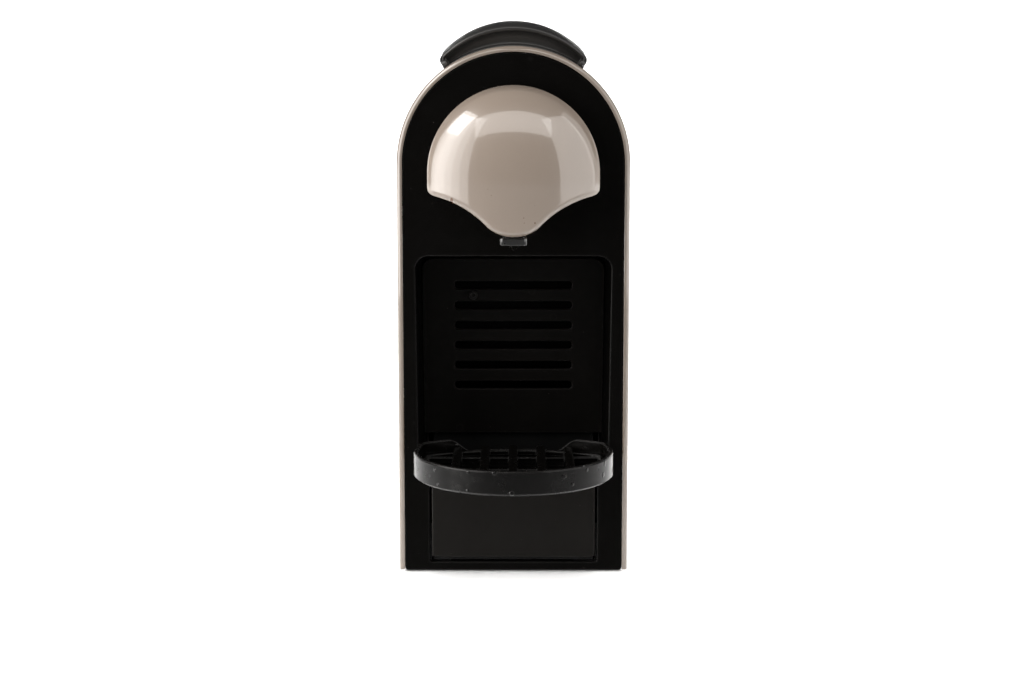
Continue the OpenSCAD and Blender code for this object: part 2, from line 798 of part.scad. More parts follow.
module drip_grid() color(black) {
    difference() {
        along_z(57, 59.6) tray_outline(tray_wall + 0.5);
        along_z(56, 61) tray_outline(tray_wall + 3);
    }
    intersection() {
        along_z(57, 62) tray_outline(tray_wall + 0.8);
        union() {
            for (k = [0 : ribs - 1]) let (x = rib_pitch * (k - (ribs - 1) / 2))
                block([x - 2.1, -190, 57], [x + 2.1, -90, 62]);
            for (y = [front_y - 12, front_y - 38]) block([-60, y - 1.5, 57], [60, y + 1.5, 59.6]);
        }
    }
    for (s = [-1, 1]) for (y = [front_y - 12, front_y - 38])
        translate([s * rib_pitch, y, tray_bottom + tray_floor + 0.1]) cylinder(r = 1.4, h = 1.5);
}

// ---- Water tank ----

module water_tank() color([0.5, 0.55, 0.6, 0.4])
    difference() {
        union() {
            along_z(tank_z0, tank_top) tank_outline();
            for (s = [-1, 1]) block([s * 29 - 2, tank_y0, tank_top - 10],
                [s * 29 + 2, hinge_y + 3.3, hinge_z + 3.3]);
        }
        difference() {
            along_z(tank_z0 + 2.4, tank_top + eps) tank_outline(tank_t);
            for (s = [-1, 1]) block([s * 29 - 2, tank_y0, tank_top - 10],
                [s * 29 + 2, hinge_y + 3.3, hinge_z + 3.3]);
        }
        translate([0, socket_y, tank_z0 - eps]) cylinder(r = 8.1, h = 5);
        rod_x_axis(pin_r + 0.02, -40, 40, hinge_y, hinge_z);
    }

module tank_valve() color(natural) {
    translate([0, socket_y, 8.2]) cylinder(r = 8, h = 10);
    translate([0, socket_y, tank_z0 + 2.45]) cylinder(r = 11, h = 2.5);
}

module tank_lid() color(black)
    difference() {
        union() {
            along_z(tank_top + 0.3, tank_top + 3.3) tank_outline(0, hinge_y + 5.2);
            rod_x_axis(3.3, -26.5, 26.5, hinge_y, hinge_z);
            block([-26.5, hinge_y, tank_top + 1], [26.5, hinge_y + 6, tank_top + 3.3]);
            block([-12, 172, tank_top + 3], [12, 178, tank_top + 6.5]);
        }
        rod_x_axis(pin_r + run, -30, 30, hinge_y, hinge_z);
    }

module lid_pin() color(steel)
    rod_x_axis(pin_r, -31.5, 31.5, hinge_y, hinge_z);

body_shell();
front_fascia();
bay_liner();
head_cover();
outlet_duct();
coffee_outlet();
base_plate();
feet();
rear_cover();
cover_screws();
tank_base();
cord_gland();
tank_socket();
socket_seal();
slider_rails();
insert_chute();
waste_chute();
brew_frame();
guide_rods();
piercing_plate();
frame_screws();
screw_bush();
lead_screw();
screw_gear();
brew_motor();
motor_shaft();
motor_pinion();
capsule_cage();
cage_nut();
pump();
pump_mounts();
flow_meter();
heater_block();
heater_bracket();
heater_screws();
water_hoses();
control_board();
board_parts();
board_posts();
drawer_guides();
slider_cover();
slider_carriage();
touch_panel();
touch_buttons();
drawer_front();
drip_base();
capsule_bin();
grille_panel();
panel_stud();
dock_magnets();
cup_tray();
tray_magnets();
drip_grid();
water_tank();
tank_valve();
tank_lid();
lid_pin();
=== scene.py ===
# Looks of the pod coffee machine: an arched cream casing with a black front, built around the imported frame.
# Metres throughout. X runs across the machine, -Y is the front, Z is up.
import json
import math

import bmesh
import bpy
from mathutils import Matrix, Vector

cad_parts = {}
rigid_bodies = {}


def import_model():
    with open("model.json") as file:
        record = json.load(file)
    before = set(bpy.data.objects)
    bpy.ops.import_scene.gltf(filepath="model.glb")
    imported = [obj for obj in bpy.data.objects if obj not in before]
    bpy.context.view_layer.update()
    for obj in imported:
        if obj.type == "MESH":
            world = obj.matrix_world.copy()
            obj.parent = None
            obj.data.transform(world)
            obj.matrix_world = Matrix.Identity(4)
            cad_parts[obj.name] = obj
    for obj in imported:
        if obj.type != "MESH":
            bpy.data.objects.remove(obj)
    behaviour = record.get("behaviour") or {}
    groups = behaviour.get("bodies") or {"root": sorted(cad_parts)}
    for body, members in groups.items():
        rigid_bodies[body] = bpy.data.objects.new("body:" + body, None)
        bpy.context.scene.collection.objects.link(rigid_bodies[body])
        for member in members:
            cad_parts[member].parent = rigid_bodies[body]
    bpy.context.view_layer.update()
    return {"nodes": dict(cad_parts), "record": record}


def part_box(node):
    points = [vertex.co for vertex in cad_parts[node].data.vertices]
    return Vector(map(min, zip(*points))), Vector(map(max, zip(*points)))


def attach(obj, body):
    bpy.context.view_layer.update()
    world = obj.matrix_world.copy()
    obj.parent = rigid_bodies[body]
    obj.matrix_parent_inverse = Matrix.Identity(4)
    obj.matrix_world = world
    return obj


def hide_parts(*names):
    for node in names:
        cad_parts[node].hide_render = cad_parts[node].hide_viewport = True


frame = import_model()

MM = 0.001
NODES = frame["nodes"]


# ---- Measures taken from the frame ----

def lo(node):
    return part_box(node)[0]


def hi(node):
    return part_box(node)[1]


SHELL_LO, SHELL_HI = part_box("body_shell")
HALF_W = SHELL_HI.x
ARCH_Z = SHELL_HI.z - HALF_W                 # centre of the casing's round top
SHELL_T = 2.7 * MM
FASCIA_Y = lo("front_fascia").y              # front plane
FASCIA_BACK = hi("front_fascia").y
FASCIA_HALF = hi("front_fascia").x
FOOT_Z = SHELL_LO.z
REAR_Y = SHELL_HI.y
BAY_TOP = hi("bay_liner").z - 1.8 * MM
BAY_FLOOR = 50 * MM
BAY_HALF = 46.45 * MM                        # at the top; the bay narrows downwards
BAY_HALF_LOW = 45.45 * MM
BAY_R = 6.3 * MM
DRAWER_LO, DRAWER_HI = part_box("drawer_front")
DRAWER_HALF = 39.3 * MM
TRAY_LO, TRAY_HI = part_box("cup_tray")
TRAY_R = 46.4 * MM
TRAY_CY = TRAY_LO.y + TRAY_R
SLIDER_LO, SLIDER_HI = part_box("slider_cover")
SLIDER_R = 46.5 * MM
SLIDER_CZ = SLIDER_HI.z - SLIDER_R
HEAD_LO = lo("head_cover")
HEAD_OUT = FASCIA_Y - HEAD_LO.y              # how far the head stands out
HEAD_HALF = 39.95 * MM
HEAD_CZ = 194.0 * MM


# ---- Mesh helpers ----

def link(obj):
    bpy.context.scene.collection.objects.link(obj)
    return obj


def smooth(obj, angle=32.0, weighted=True):
    """Smooth shading with creases above an angle, and flat faces kept flat."""
    mesh = obj.data
    bm = bmesh.new()
    bm.from_mesh(mesh)
    bmesh.ops.remove_doubles(bm, verts=bm.verts, dist=1e-6)
    bmesh.ops.dissolve_degenerate(bm, edges=bm.edges, dist=1e-7)
    bmesh.ops.recalc_face_normals(bm, faces=bm.faces)
    bm.to_mesh(mesh)
    bm.free()
    mesh.shade_smooth()
    mesh.set_sharp_from_angle(angle=math.radians(angle))
    if weighted:
        normals = obj.modifiers.new("even_normals", "WEIGHTED_NORMAL")
        normals.keep_sharp = True
        normals.weight = 80
    return obj


AXES = {
    "x": lambda u, v, w: (w, u, v),
    "y": lambda u, v, w: (u, w, v),
    "z": lambda u, v, w: (u, v, w),
}


def profile_mesh(name, loops, axis, start, end, bevel, steps=3):
    """A flat outline with holes, pushed from start to end along an axis, with rounded edges."""
    curve = bpy.data.curves.new(name, "CURVE")
    curve.dimensions = "2D"
    curve.fill_mode = "BOTH"
    curve.extrude = (end - start) / 2 - bevel
    curve.bevel_depth = bevel
    curve.bevel_resolution = steps
    curve.offset = -bevel
    for loop in loops:
        spline = curve.splines.new("POLY")
        spline.points.add(len(loop) - 1)
        for point, (u, v) in zip(spline.points, loop):
            point.co = (u, v, 0, 1)
        spline.use_cyclic_u = True
    carrier = link(bpy.data.objects.new(name + "_curve", curve))
    graph = bpy.context.evaluated_depsgraph_get()
    mesh = bpy.data.meshes.new_from_object(carrier.evaluated_get(graph))
    bpy.data.objects.remove(carrier)
    middle = (start + end) / 2
    place = AXES[axis]
    for vertex in mesh.vertices:
        vertex.co = place(vertex.co.x, vertex.co.y, middle + vertex.co.z)
    mesh.name = name
    return mesh


def profile(name, loops, axis, start, end, bevel, steps=3, angle=32.0):
    mesh = profile_mesh(name, loops, axis, start, end, bevel, steps)
    return smooth(link(bpy.data.objects.new(name, mesh)), angle)


def from_rows(name, rows, ring=True, caps=(), closed_rows=False):
    """A skin over rows of points. ring closes each row; caps names the end rows that get a fan."""
    bm = bmesh.new()
    grid = [[bm.verts.new(p) for p in row] for row in rows]
    count = len(rows[0])
    pairs = list(zip(grid, grid[1:]))
    if closed_rows:
        pairs.append((grid[-1], grid[0]))
    for a, b in pairs:
        for i in range(count if ring else count - 1):
            j = (i + 1) % count
            bm.faces.new((a[i], a[j], b[j], b[i]))
    for end in caps:
        bm.faces.new(grid[end])
    mesh = bpy.data.meshes.new(name)
    bm.to_mesh(mesh)
    bm.free()
    return link(bpy.data.objects.new(name, mesh))


def join(name, parts):
    """Several meshes as one piece, with their modifiers applied first."""
    graph = bpy.context.evaluated_depsgraph_get()
    bm = bmesh.new()
    for part in parts:
        mesh = bpy.data.meshes.new_from_object(part.evaluated_get(graph))
        mesh.transform(part.matrix_world)
        bm.from_mesh(mesh)
        bpy.data.objects.remove(part)
    mesh = bpy.data.meshes.new(name)
    bm.to_mesh(mesh)
    bm.free()
    return link(bpy.data.objects.new(name, mesh))


def cut(obj, cutter):
    """Takes the cutter out of obj, and removes it."""
    modifier = obj.modifiers.new("cut", "BOOLEAN")
    modifier.operation = "DIFFERENCE"
    modifier.solver = "EXACT"
    modifier.object = cutter
    graph = bpy.context.evaluated_depsgraph_get()
    mesh = bpy.data.meshes.new_from_object(obj.evaluated_get(graph))
    obj.modifiers.clear()
    obj.data = mesh
    bpy.data.objects.remove(cutter)
    return obj


def arc(cx, cy, r, a0, a1, count):
    """Points along an arc, angles in degrees."""
    step = (a1 - a0) / count
    return [(cx + r * math.cos(math.radians(a0 + step * i)), cy + r * math.sin(math.radians(a0 + step * i)))
            for i in range(count + 1)]


def rounded(points, radii, count=6):
    """A closed outline with each corner rounded by its radius."""
    out = []
    total = len(points)
    for i, radius in enumerate(radii):
        here = Vector(points[i])
        a = (Vector(points[i - 1]) - here).normalized()
        b = (Vector(points[(i + 1) % total]) - here).normalized()
        if radius <= 0:
            out.append(tuple(here))
            continue
        half = math.acos(max(-1.0, min(1.0, a.dot(b)))) / 2
        reach = radius / math.tan(half)
        centre = here + (a + b).normalized() * (radius / math.sin(half))
        start = here + a * reach - centre
        end = here + b * reach - centre
        sweep = start.angle_signed(end)
        base = math.atan2(start.y, start.x)
        for k in range(count + 1):
            angle = base - sweep * k / count
            out.append((centre.x + radius * math.cos(angle), centre.y + radius * math.sin(angle)))
    return out


def box_outline(u0, v0, u1, v1, r, count=6):
    return rounded([(u0, v0), (u1, v0), (u1, v1), (u0, v1)], [r] * 4, count)


def inset_loop(points, distance):
    """A closed counter-clockwise outline moved inwards."""
    out = []
    total = len(points)
    for i in range(total):
        before = Vector(points[i - 1])
        after = Vector(points[(i + 1) % total])
        along = (after - before).normalized()
        out.append((points[i][0] - along.y * distance, points[i][1] + along.x * distance))
    return out


def arch_outline(half, z0, corner, count=72):
    """Doorway outline: straight sides, round top, small bottom corners. Counter-clockwise."""
    points = arc(corner - half, z0 + corner, corner, 180, 270, 6)
    points += arc(half - corner, z0 + corner, corner, 270, 360, 6)
    sides = 14
    points += [(half, z0 + corner + (ARCH_Z - z0 - corner) * k / sides) for k in range(1, sides)]
    points += arc(0, ARCH_Z, half, 0, 180, count)
    points += [(-half, ARCH_Z + (z0 + corner - ARCH_Z) * k / sides) for k in range(1, sides)]
    return points


def bay_outline(half_top, half_low, floor, top, r, count=10):
    """Cup bay outline: narrower at the bottom, round upper corners. Counter-clockwise."""
    return rounded([(-half_low, floor), (half_low, floor), (half_top, top), (-half_top, top)],
                   [0, 0, r, r], count)


def piece(obj, body, slot, material, *replaced):
    """Gives a finished piece its material and body, and hides the CAD nodes it stands for; slot is not used.
    """
    obj.data.materials.clear()
    obj.data.materials.append(material)
    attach(obj, body)
    if replaced:
        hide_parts(*replaced)
    return obj


# ---- Materials ----

class Shader:
    """A Principled material and short ways to build its nodes."""

    def __init__(self, name, **sockets):
        self.material = bpy.data.materials.new(name)
        self.material.use_nodes = True
        self.tree = self.material.node_tree
        self.main = self.tree.nodes["Principled BSDF"]
        self.coords = self.tree.nodes.new("ShaderNodeTexCoord").outputs["Object"]
        for key, value in sockets.items():
            self.main.inputs[key.replace("_", " ")].default_value = value

    def node(self, kind, **inputs):
        made = self.tree.nodes.new(kind)
        for key, value in inputs.items():
            socket = made.inputs[key.replace("_", " ")]
            if isinstance(value, bpy.types.NodeSocket):
                self.tree.links.new(value, socket)
            else:
                socket.default_value = value
        return made

    def noise(self, scale, detail=4.0, roughness=0.5, stretch=None, distortion=0.0):
        vector = self.coords
        if stretch:
            mapping = self.node("ShaderNodeMapping", Vector=vector)
            mapping.inputs["Scale"].default_value = stretch
            vector = mapping.outputs["Vector"]
        made = self.node("ShaderNodeTexNoise", Vector=vector, Scale=scale, Detail=detail,
                         Roughness=roughness, Distortion=distortion)
        return made.outputs["Fac"]

    def spots(self, scale, randomness=1.0):
        made = self.node("ShaderNodeTexVoronoi", Vector=self.coords, Scale=scale,
                         Randomness=randomness)
        return made.outputs["Distance"], made.outputs["Color"]

    def channel(self, colour, name):
        return self.node("ShaderNodeSeparateColor", Color=colour).outputs[name]

    def ramp(self, fac, stops):
        """Maps a value through (position, grey or colour) stops."""
        made = self.tree.nodes.new("ShaderNodeValToRGB")
        self.tree.links.new(fac, made.inputs["Fac"])
        elements = made.color_ramp.elements
        while len(elements) < len(stops):
            elements.new(0.5)
        for element, (position, value) in zip(elements, stops):
            element.position = position
            element.color = (value,) * 3 + (1,) if isinstance(value, (int, float)) else (*value, 1)
        return made.outputs["Color"]

    def mix(self, fac, a, b):
        made = self.tree.nodes.new("ShaderNodeMix")
        made.data_type = "RGBA"
        for socket, value in ((made.inputs["Factor"], fac), (made.inputs["A"], a), (made.inputs["B"], b)):
            if isinstance(value, bpy.types.NodeSocket):
                self.tree.links.new(value, socket)
            elif isinstance(value, (int, float)):
                socket.default_value = value
            else:
                socket.default_value = (*value, 1)
        return made.outputs["Result"]

    def math(self, operation, a, b):
        made = self.tree.nodes.new("ShaderNodeMath")
        made.operation = operation
        for socket, value in ((made.inputs[0], a), (made.inputs[1], b)):
            if isinstance(value, bpy.types.NodeSocket):
                self.tree.links.new(value, socket)
            else:
                socket.default_value = value
        return made.outputs["Value"]

    def bump(self, height, strength, distance, below=None):
        made = self.node("ShaderNodeBump", Height=height, Strength=strength, Distance=distance)
        if below:
            self.tree.links.new(below, made.inputs["Normal"])
        return made.outputs["Normal"]

    def painted_edge_highlights(self):
        """1 along edges: the mask for a painted highlight, a pale colour mixed onto the rounded edges."""
        rounded_normal = self.node("ShaderNodeBevel", Radius=0.7 * MM).outputs["Normal"]
        compare = self.node("ShaderNodeVectorMath")
        compare.operation = "DOT_PRODUCT"
        geometry = self.tree.nodes.new("ShaderNodeNewGeometry")
        self.tree.links.new(rounded_normal, compare.inputs[0])
        self.tree.links.new(geometry.outputs["Normal"], compare.inputs[1])
        return self.ramp(compare.outputs["Value"], [(0.90, 1.0), (0.99, 0.0)])

    def set(self, key, output):
        self.tree.links.new(output, self.main.inputs[key])
        return self


def cream_gloss(name="cream_gloss", level=0.8, stained=False):
    """Glossy cream plastic, a little warm, with faint wipe marks; the head also has coffee specks. A level
    below 1 paints shade in as a darker copy.
    """
    s = Shader(name, Coat_Weight=1.0, Coat_Roughness=0.05, Coat_IOR=1.62, Specular_IOR_Level=0.45, IOR=1.5)
    pale, deep = ([c * level for c in tint] for tint in ((0.245, 0.202, 0.167), (0.237, 0.195, 0.161)))
    tone = s.mix(s.noise(1100, 1), pale, deep)
    if stained:
        distance, colour = s.spots(610)
        grain = s.channel(colour, "Red")
        height = s.node("ShaderNodeSeparateXYZ", Vector=s.coords).outputs["Z"]
        low = s.math("LESS_THAN", height, 0.193)
        speck = s.math("MULTIPLY", s.math("LESS_THAN", distance, 0.2), s.math("GREATER_THAN", grain, 0.88))
        speck = s.math("MULTIPLY", speck, s.math("GREATER_THAN", s.noise(70, 1), 0.53))
        tone = s.mix(s.math("MULTIPLY", speck, low), tone, (0.06, 0.03, 0.015))
        side = s.node("ShaderNodeSeparateXYZ", Vector=s.coords).outputs["X"]
        off_x = s.math("DIVIDE", s.math("ADD", side, 28.4 * MM), 1.2 * MM)
        off_z = s.math("DIVIDE", s.math("SUBTRACT", height, 181.4 * MM), 2.3 * MM)
        spread = s.math("ADD", s.math("MULTIPLY", off_x, off_x), s.math("MULTIPLY", off_z, off_z))
        ragged = s.math("ADD", spread, s.noise(900, 3))
        tone = s.mix(s.ramp(ragged, [(0.7, 0.95), (1.0, 0.0)]), tone, (0.10, 0.035, 0.01))
    s.set("Base Color", tone)
    s.main.inputs["Roughness"].default_value = 0.27
    s.set("Normal", s.bump(s.noise(1400, 1), 0.012, 0.0001))
    return s.material


def fine_grain(name, colour, rough, grain=1500.0, depth=0.12, stains=True, specular=0.3):
    """Moulded plastic with a fine spark-eroded grain, dry water marks, dust and a painted highlight along its
    edges.
    """
    s = Shader(name, Specular_IOR_Level=specular)
    light = tuple(c * 1.7 + 0.0008 for c in colour)
    tone = s.mix(s.noise(30, 6, 0.65), colour, light)
    rough_value = s.ramp(s.noise(70, 6, 0.7), [(0.35, rough - 0.07), (0.7, rough + 0.08)])
    # Painted highlight: a pale colour along the edges stands in for the light they catch.
    tone = s.mix(s.painted_edge_highlights(), tone, tuple(c * 4 + 0.03 for c in colour))
    if stains:
        distance, tint = s.spots(95)
        ring = s.ramp(distance, [(0.10, 0.0), (0.14, 1.0), (0.17, 1.0), (0.22, 0.0)])
        rare = s.math("GREATER_THAN", s.channel(tint, "Green"), 0.86)
        mark = s.math("MULTIPLY", s.math("MULTIPLY", ring, rare), 0.25)
        tone = s.mix(mark, tone, tuple(c * 3 + 0.006 for c in colour))
        dust_distance, dust_tint = s.spots(420)
        dust = s.math("MULTIPLY", s.math("LESS_THAN", dust_distance, 0.07),
                      s.math("GREATER_THAN", s.channel(dust_tint, "Blue"), 0.94))
        tone = s.mix(s.math("MULTIPLY", dust, 0.35), tone, (0.12, 0.11, 0.1))
    s.set("Base Color", tone)
    s.set("Roughness", rough_value)
    s.set("Normal", s.bump(s.noise(grain, 2, 0.5), depth, 0.0002))
    return s.material


def wet_satin(name, colour, rough, shine=0.16):
    """Satin plastic with drops, dried splashes and a painted highlight along its edges."""
    s = Shader(name, Specular_IOR_Level=shine)
    tone = s.mix(s.noise(60, 6, 0.7), colour, tuple(c * 2 + 0.0003 for c in colour))
    # Painted highlight: a pale colour along the edges stands in for the light they catch.
    tone = s.mix(s.painted_edge_highlights(), tone, tuple(c * 4 + 0.03 for c in colour))
    distance, tint = s.spots(260)
    rare = s.math("GREATER_THAN", s.channel(tint, "Red"), 0.72)
    drop = s.math("MULTIPLY", s.ramp(distance, [(0.0, 1.0), (0.22, 0.9), (0.34, 0.0)]), rare)
    s.set("Base Color", tone)
    dry = s.ramp(s.noise(120, 5, 0.7), [(0.35, rough - 0.06), (0.7, rough + 0.12)])
    s.set("Roughness", s.mix(drop, dry, (0.04, 0.04, 0.04)))
    grain = s.bump(s.noise(1800, 2), 0.06, 0.0002)
    s.set("Normal", s.bump(drop, 0.5, 0.0009, grain))
    return s.material


def metal(name, colour, rough, stretch=(1, 1, 1), grain=300.0):
    """Brushed or turned metal."""
    s = Shader(name, Metallic=1.0)
    s.set("Base Color", s.mix(s.noise(80, 4), colour, tuple(c * 0.8 for c in colour)))
    s.set("Roughness", s.ramp(s.noise(grain, 4, 0.6, stretch), [(0.3, rough - 0.08), (0.7, rough + 0.1)]))
    s.set("Normal", s.bump(s.noise(grain, 3, 0.6, stretch), 0.1, 0.0001))
    return s.material


def rubber(name="rubber_black"):
    s = Shader(name, Specular_IOR_Level=0.3)
    s.set("Base Color", s.mix(s.noise(120, 5), (0.012, 0.012, 0.012), (0.03, 0.03, 0.03)))
    s.set("Roughness", s.ramp(s.noise(200, 4), [(0.3, 0.55), (0.7, 0.8)]))
    s.set("Normal", s.bump(s.noise(2200, 2), 0.2, 0.0002))
    return s.material


def clear_tank(name="smoked_clear"):
    """Clear, lightly smoked plastic whose roughness varies in patches."""
    s = Shader(name, Base_Color=(0.72, 0.76, 0.78, 1), Transmission_Weight=1.0, IOR=1.49,
               Specular_IOR_Level=0.5)
    s.set("Roughness", s.ramp(s.noise(60, 6, 0.7), [(0.4, 0.02), (0.8, 0.16)]))
    s.set("Normal", s.bump(s.noise(25, 2), 0.03, 0.001))
    return s.material


def circuit_green(name="circuit_green"):
    """Green lacquer with faint copper tracks below it."""
    s = Shader(name, Coat_Weight=0.5, Coat_Roughness=0.15, Roughness=0.45)
    brick = s.node("ShaderNodeTexBrick", Vector=s.coords, Scale=220.0)
    brick.inputs["Color1"].default_value = (0.012, 0.09, 0.035, 1)
    brick.inputs["Color2"].default_value = (0.015, 0.12, 0.045, 1)
    brick.inputs["Mortar"].default_value = (0.03, 0.2, 0.08, 1)
    brick.inputs["Mortar Size"].default_value = 0.06
    s.set("Base Color", brick.outputs["Color"])
    return s.material


# Painted shade: the casing's cream is the head's cream darkened to 0.8, standing in for shade on the casing.
CREAM_SHADED_COPY = cream_gloss()
CREAM_HEAD = cream_gloss("cream_gloss_head", 1.0, stained=True)
BLACK = fine_grain("black_grain", (0.0011, 0.001, 0.0009), 0.45, specular=0.02)
# Painted light: a lighter copy of the black plastic for the grille and drawer front stands in for the light
# they catch.
BLACK_PAINTED_LIGHTER = fine_grain("black_painted_lighter", (0.003, 0.0026, 0.0022), 0.42, specular=0.08)
BLACK_PLAIN = fine_grain("black_moulded", (0.003, 0.003, 0.003), 0.5, stains=False, specular=0.15)
TRAY_BLACK = wet_satin("tray_satin", (0.0008, 0.0007, 0.0006), 0.2)
GREY = fine_grain("grey_satin", (0.013, 0.0126, 0.012), 0.36, 2200.0, 0.08, False, 0.6)
GLOSS = fine_grain("gloss_black", (0.006, 0.006, 0.006), 0.12, 300.0, 0.01, False, 0.5)
LENS = fine_grain("button_lens", (0.35, 0.35, 0.35), 0.15, 300.0, 0.01, False, 0.5)
OUTLET = wet_satin("outlet_wet", (0.005, 0.0048, 0.0045), 0.1, 0.8)
RUBBER = rubber()
NATURAL = fine_grain("natural_plastic", (0.62, 0.60, 0.54), 0.45, 1200.0, 0.08, False, 0.4)
STEEL = metal("brushed_steel", (0.60, 0.60, 0.62), 0.3, (1, 8, 1))
MAGNET = metal("plated_magnet", (0.62, 0.62, 0.64), 0.18)
BRASS = metal("turned_brass", (0.72, 0.54, 0.26), 0.25, (8, 1, 8))
ALUMINIUM = metal("cast_aluminium", (0.72, 0.72, 0.74), 0.45, (1, 1, 1), 600.0)
GREEN = circuit_green()
COMPONENT = fine_grain("board_plastic", (0.03, 0.03, 0.034), 0.4, 900.0, 0.05, False, 0.4)
CLEAR = clear_tank()

SLOT_MATERIALS = {
    "cream_shell": CREAM_SHADED_COPY, "black_plastic": BLACK_PLAIN, "black_satin": TRAY_BLACK,
    "outlet_plastic": OUTLET, "grey_plastic": GREY, "gloss_black": GLOSS, "button_lens": LENS,
    "rubber": RUBBER, "natural_plastic": NATURAL, "steel": STEEL, "magnet": MAGNET, "brass": BRASS,
    "aluminium": ALUMINIUM, "circuit_board": GREEN, "board_plastic": COMPONENT,
    "smoked_clear": CLEAR,
}


# ---- Carried-over CAD nodes: slot material, softened edges ----

EDGE = {"tank_lid": 0.9, "tank_base": 1.2, "capsule_bin": 0.5, "drip_base": 0.5, "pump": 0.8,
        "heater_block": 1.0, "control_board": 0.15, "lead_screw": 0.3, "screw_gear": 0.12,
        "motor_pinion": 0.1, "board_parts": 0.4, "water_hoses": 0.0, "water_tank": 0.6,
        "socket_seal": 0.5, "cord_gland": 0.6, "feet": 0.3}


def dress(node, slot):
    obj = NODES[node]
    obj.data.materials.clear()
    obj.data.materials.append(SLOT_MATERIALS[slot])
    for polygon in obj.data.polygons:
        polygon.use_smooth = True
    weld = obj.modifiers.new("weld", "WELD")
    weld.merge_threshold = 1e-6
    width = EDGE.get(node, 0.25)
    if width:
        bevel = obj.modifiers.new("soft_edges", "BEVEL")
        bevel.width = width * MM
        bevel.segments = 3
        bevel.limit_method = "ANGLE"
        bevel.angle_limit = math.radians(38)
        bevel.use_clamp_overlap = True
        bevel.harden_normals = False
    normals = obj.modifiers.new("even_normals", "WEIGHTED_NORMAL")
    normals.keep_sharp = False
    normals.weight = 90


for row in frame["record"]["subparts"]:
    dress(row["node"], row["material_slot"])


# ---- Casing ----

def make_shell():
    """An arched skin with two straight legs and a capsule slot in its top."""
    # The legs stay open underneath, so the outline runs up inside and back down outside.
    points = []
    half = HALF_W
    inside = HALF_W - SHELL_T
    corner = 1.25 * MM
    points += arc(corner - half, FOOT_Z + corner, corner, 180, 270, 5)
    points += arc(-inside - corner, FOOT_Z + corner, corner, 270, 360, 5)
    count = 14
    points += [(-inside, FOOT_Z + corner + (ARCH_Z - FOOT_Z - corner) * k / count) for k in range(1, count)]
    points += arc(0, ARCH_Z, inside, 180, 0, 96)
    points += [(inside, ARCH_Z + (FOOT_Z + corner - ARCH_Z) * k / count) for k in range(1, count)]
    points += arc(inside + corner, FOOT_Z + corner, corner, 180, 270, 5)
    points += arc(half - corner, FOOT_Z + corner, corner, 270, 360, 5)
    points += [(half, FOOT_Z + corner + (ARCH_Z - FOOT_Z - corner) * k / count) for k in range(1, count)]
    points += arc(0, ARCH_Z, half, 0, 180, 96)
    points += [(-half, ARCH_Z + (FOOT_Z + corner - ARCH_Z) * k / count) for k in range(1, count)]
    shell = profile("casing_shell", [points], "y", SHELL_LO.y, REAR_Y, 1.2 * MM, 4)
    slot_lo, slot_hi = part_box("insert_chute")
    wall = 1.6 * MM
    outline = box_outline(slot_lo.x + wall, slot_lo.y + wall, slot_hi.x - wall, slot_hi.y - wall, 4 * MM)
    cutter = profile("slot_cutter", [outline], "z", slot_lo.z, SHELL_HI.z + 10 * MM, 0.1 * MM, 1)
    cutter.modifiers.clear()
    shell.modifiers.clear()
    cut(shell, cutter)
    round_rim(shell.data)
    smooth(shell)
    piece(shell, "body", "cream_shell", CREAM_SHADED_COPY, "body_shell")


def round_rim(mesh):
    """Turns the front rim into a broad outer rounding with a crisp inner edge."""
    big = 2.3 * MM
    for vertex in mesh.vertices:
        x, y, z = vertex.co
        depth = y - SHELL_LO.y
        if depth > 1.21 * MM:
            continue
        reach = math.hypot(x, z - ARCH_Z) if z > ARCH_Z else abs(x)
        edge = min(HALF_W - reach, z - FOOT_Z)
        if edge > 1.55 * MM:
            vertex.co.y = SHELL_LO.y + depth * 0.25
        else:
            edge = max(edge, 0.0)
            vertex.co.y = SHELL_LO.y + big - math.sqrt(big * big - (big - edge) ** 2)


def make_fascia():
    outer = arch_outline(FASCIA_HALF, FOOT_Z, 1.2 * MM, 96)
    half = DRAWER_HALF + 1.0 * MM
    low = BAY_HALF_LOW - 0.25 * MM
    low_z = 5.4 * MM
    opening = rounded([(-half, low_z), (half, low_z), (half, BAY_FLOOR), (low, BAY_FLOOR),
                       (BAY_HALF, BAY_TOP), (-BAY_HALF, BAY_TOP), (-low, BAY_FLOOR), (-half, BAY_FLOOR)],
                      [1.4 * MM, 1.4 * MM, 0, 0.6 * MM, BAY_R, BAY_R, 0.6 * MM, 0], 10)
    fascia = profile("front_panel", [outer, opening], "y", FASCIA_Y, FASCIA_BACK, 0.55 * MM, 3)
    piece(fascia, "body", "black_plastic", BLACK, "front_fascia")


